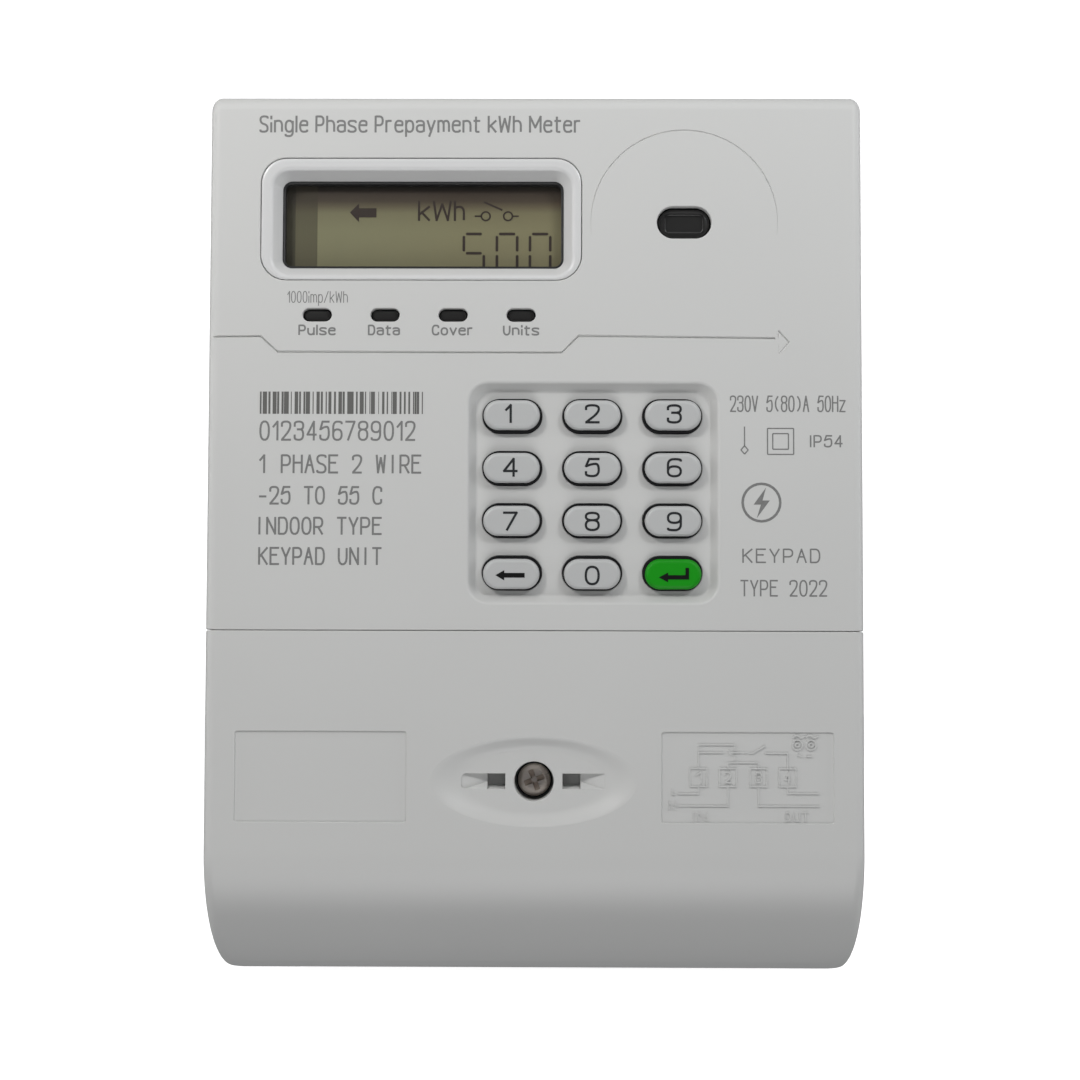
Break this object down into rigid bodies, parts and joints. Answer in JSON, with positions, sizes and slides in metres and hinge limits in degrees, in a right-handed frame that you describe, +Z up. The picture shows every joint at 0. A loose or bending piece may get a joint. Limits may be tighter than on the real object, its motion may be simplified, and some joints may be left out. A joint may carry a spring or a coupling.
{
  "type": "prepaid electricity meter",
  "caption": "Wall electricity meter with display window, keypad in a recess, optical port, and a screwed terminal cover over cable terminals at the bottom.",
  "frame": {"origin": "centre of the flat back that lies against the wall", "axes": "+Z up the wall, +X to the right seen from the front, the front looks along -Y"},
  "size_m": [0.126, 0.056, 0.172],
  "materials": {
    "case_plastic": "fine moulded texture, light grey",
    "bezel_plastic": "polished light grey",
    "clear_window": "clear polycarbonate",
    "display": "reflective liquid crystal display, olive",
    "smoked_lens": "smoked, polished",
    "key_plastic": "satin grey",
    "green_plastic": "satin green",
    "seal_rubber": "matt",
    "black_plastic": "moulded",
    "nickel_steel": "nickel plated",
    "zinc_steel": "zinc plated",
    "brass": "machined",
    "copper": "rolled copper, tinned at the ends",
    "board": "solder mask over glass epoxy",
    "winding": "taped winding and varnished core",
    "led_resin": "coloured resin"
  },
  "bodies": {
    "case": {"base": "case_plastic", "main_cover": "case_plastic", "window_bezel": "bezel_plastic", "lcd_window": "clear_window", "lcd_module": "display", "led_light_pipe": "smoked_lens", "ir_lens": "smoked_lens", "aux_terminal": "green_plastic", "case_gasket": "seal_rubber", "keypad_mat": "seal_rubber", "terminal_block": "black_plastic", "tamper_switch": "black_plastic", "relay_case": "black_plastic", "buzzer": "black_plastic", "ir_emitter": "black_plastic", "backup_battery": "nickel_steel", "case_screw_left": "zinc_steel", "case_screw_right": "zinc_steel", "terminal_1": "brass", "terminal_2": "brass", "terminal_3": "brass", "terminal_4": "brass", "relay_coil": "copper", "current_shunt": "copper", "neutral_bar": "copper", "load_bar": "copper", "display_pcb": "board", "main_pcb": "board", "supply_transformer": "winding", "led_pulse": "led_resin", "led_data": "led_resin", "led_cover": "led_resin", "led_credit": "led_resin"},
    "terminal_cover": {"terminal_cover": "case_plastic"},
    "seal_screw_washer": {"seal_screw_washer": "black_plastic"},
    "seal_screw": {"seal_screw": "nickel_steel"},
    "hanger": {"hanger": "zinc_steel"},
    "tamper_plunger": {"tamper_plunger": "green_plastic"},
    "relay_rocker": {"relay_rocker": "zinc_steel"},
    "relay_contact_arm": {"relay_contact_arm": "copper"},
    "key_1": {"key_1": "key_plastic"},
    "key_2": {"key_2": "key_plastic"},
    "key_3": {"key_3": "key_plastic"},
    "key_4": {"key_4": "key_plastic"},
    "key_5": {"key_5": "key_plastic"},
    "key_6": {"key_6": "key_plastic"},
    "key_7": {"key_7": "key_plastic"},
    "key_8": {"key_8": "key_plastic"},
    "key_9": {"key_9": "key_plastic"},
    "key_back": {"key_back": "key_plastic"},
    "key_0": {"key_0": "key_plastic"},
    "key_enter": {"key_enter": "green_plastic"},
    "terminal_screw_1a": {"terminal_screw_1a": "nickel_steel"},
    "terminal_screw_1b": {"terminal_screw_1b": "nickel_steel"},
    "terminal_screw_2a": {"terminal_screw_2a": "nickel_steel"},
    "terminal_screw_2b": {"terminal_screw_2b": "nickel_steel"},
    "terminal_screw_3a": {"terminal_screw_3a": "nickel_steel"},
    "terminal_screw_3b": {"terminal_screw_3b": "nickel_steel"},
    "terminal_screw_4a": {"terminal_screw_4a": "nickel_steel"},
    "terminal_screw_4b": {"terminal_screw_4b": "nickel_steel"}
  },
  "joints": [
    {"name": "terminal_cover_lift", "type": "slide", "parent": "case", "child": "terminal_cover", "axis": [0, -1, 0], "range_m": [0, 0.06]},
    {"name": "seal_screw_travel", "type": "slide", "parent": "terminal_cover", "child": "seal_screw_washer", "axis": [0, -1, 0], "range_m": [0, 0.006]},
    {"name": "seal_screw_turn", "type": "hinge", "parent": "seal_screw_washer", "child": "seal_screw", "pos_m": [0, -0.045, -0.0461], "axis": [0, -1, 0], "range_deg": [0, 3086]},
    {"name": "hanger_slide", "type": "slide", "parent": "case", "child": "hanger", "axis": [0, 0, 1], "range_m": [0, 0.018]},
    {"name": "tamper_press", "type": "slide", "parent": "case", "child": "tamper_plunger", "axis": [0, 1, 0], "range_m": [0, 0.0006], "stiffness_N_per_m": 100, "springref_m": -0.004},
    {"name": "relay_rock", "type": "hinge", "parent": "case", "child": "relay_rocker", "pos_m": [-0.023, -0.024, 0.022], "axis": [0, 1, 0], "range_deg": [0, 12]},
    {"name": "relay_contact_swing", "type": "hinge", "parent": "case", "child": "relay_contact_arm", "pos_m": [-0.0193, -0.024, 0.0125], "axis": [0, 1, 0], "range_deg": [0, 6]},
    {"name": "key_1_press", "type": "slide", "parent": "case", "child": "key_1", "axis": [0, 1, 0], "range_m": [0, 0.0012], "stiffness_N_per_m": 200, "springref_m": -0.004},
    {"name": "key_2_press", "type": "slide", "parent": "case", "child": "key_2", "axis": [0, 1, 0], "range_m": [0, 0.0012], "stiffness_N_per_m": 200, "springref_m": -0.004},
    {"name": "key_3_press", "type": "slide", "parent": "case", "child": "key_3", "axis": [0, 1, 0], "range_m": [0, 0.0012], "stiffness_N_per_m": 200, "springref_m": -0.004},
    {"name": "key_4_press", "type": "slide", "parent": "case", "child": "key_4", "axis": [0, 1, 0], "range_m": [0, 0.0012], "stiffness_N_per_m": 200, "springref_m": -0.004},
    {"name": "key_5_press", "type": "slide", "parent": "case", "child": "key_5", "axis": [0, 1, 0], "range_m": [0, 0.0012], "stiffness_N_per_m": 200, "springref_m": -0.004},
    {"name": "key_6_press", "type": "slide", "parent": "case", "child": "key_6", "axis": [0, 1, 0], "range_m": [0, 0.0012], "stiffness_N_per_m": 200, "springref_m": -0.004},
    {"name": "key_7_press", "type": "slide", "parent": "case", "child": "key_7", "axis": [0, 1, 0], "range_m": [0, 0.0012], "stiffness_N_per_m": 200, "springref_m": -0.004},
    {"name": "key_8_press", "type": "slide", "parent": "case", "child": "key_8", "axis": [0, 1, 0], "range_m": [0, 0.0012], "stiffness_N_per_m": 200, "springref_m": -0.004},
    {"name": "key_9_press", "type": "slide", "parent": "case", "child": "key_9", "axis": [0, 1, 0], "range_m": [0, 0.0012], "stiffness_N_per_m": 200, "springref_m": -0.004},
    {"name": "key_back_press", "type": "slide", "parent": "case", "child": "key_back", "axis": [0, 1, 0], "range_m": [0, 0.0012], "stiffness_N_per_m": 200, "springref_m": -0.004},
    {"name": "key_0_press", "type": "slide", "parent": "case", "child": "key_0", "axis": [0, 1, 0], "range_m": [0, 0.0012], "stiffness_N_per_m": 200, "springref_m": -0.004},
    {"name": "key_enter_press", "type": "slide", "parent": "case", "child": "key_enter", "axis": [0, 1, 0], "range_m": [0, 0.0012], "stiffness_N_per_m": 200, "springref_m": -0.004},
    {"name": "clamp_1a_travel", "type": "slide", "parent": "case", "child": "terminal_screw_1a", "axis": [0, 1, 0], "range_m": [0, 0.005]},
    {"name": "clamp_1b_travel", "type": "slide", "parent": "case", "child": "terminal_screw_1b", "axis": [0, 1, 0], "range_m": [0, 0.005]},
    {"name": "clamp_2a_travel", "type": "slide", "parent": "case", "child": "terminal_screw_2a", "axis": [0, 1, 0], "range_m": [0, 0.005]},
    {"name": "clamp_2b_travel", "type": "slide", "parent": "case", "child": "terminal_screw_2b", "axis": [0, 1, 0], "range_m": [0, 0.005]},
    {"name": "clamp_3a_travel", "type": "slide", "parent": "case", "child": "terminal_screw_3a", "axis": [0, 1, 0], "range_m": [0, 0.005]},
    {"name": "clamp_3b_travel", "type": "slide", "parent": "case", "child": "terminal_screw_3b", "axis": [0, 1, 0], "range_m": [0, 0.005]},
    {"name": "clamp_4a_travel", "type": "slide", "parent": "case", "child": "terminal_screw_4a", "axis": [0, 1, 0], "range_m": [0, 0.005]},
    {"name": "clamp_4b_travel", "type": "slide", "parent": "case", "child": "terminal_screw_4b", "axis": [0, 1, 0], "range_m": [0, 0.005]}
  ],
  "couplings": [
    {"joint": "seal_screw_turn", "follows": "seal_screw_travel", "rad_per_m": 8976},
    {"joint": "relay_contact_swing", "follows": "relay_rock", "ratio": 0.5}
  ]
}
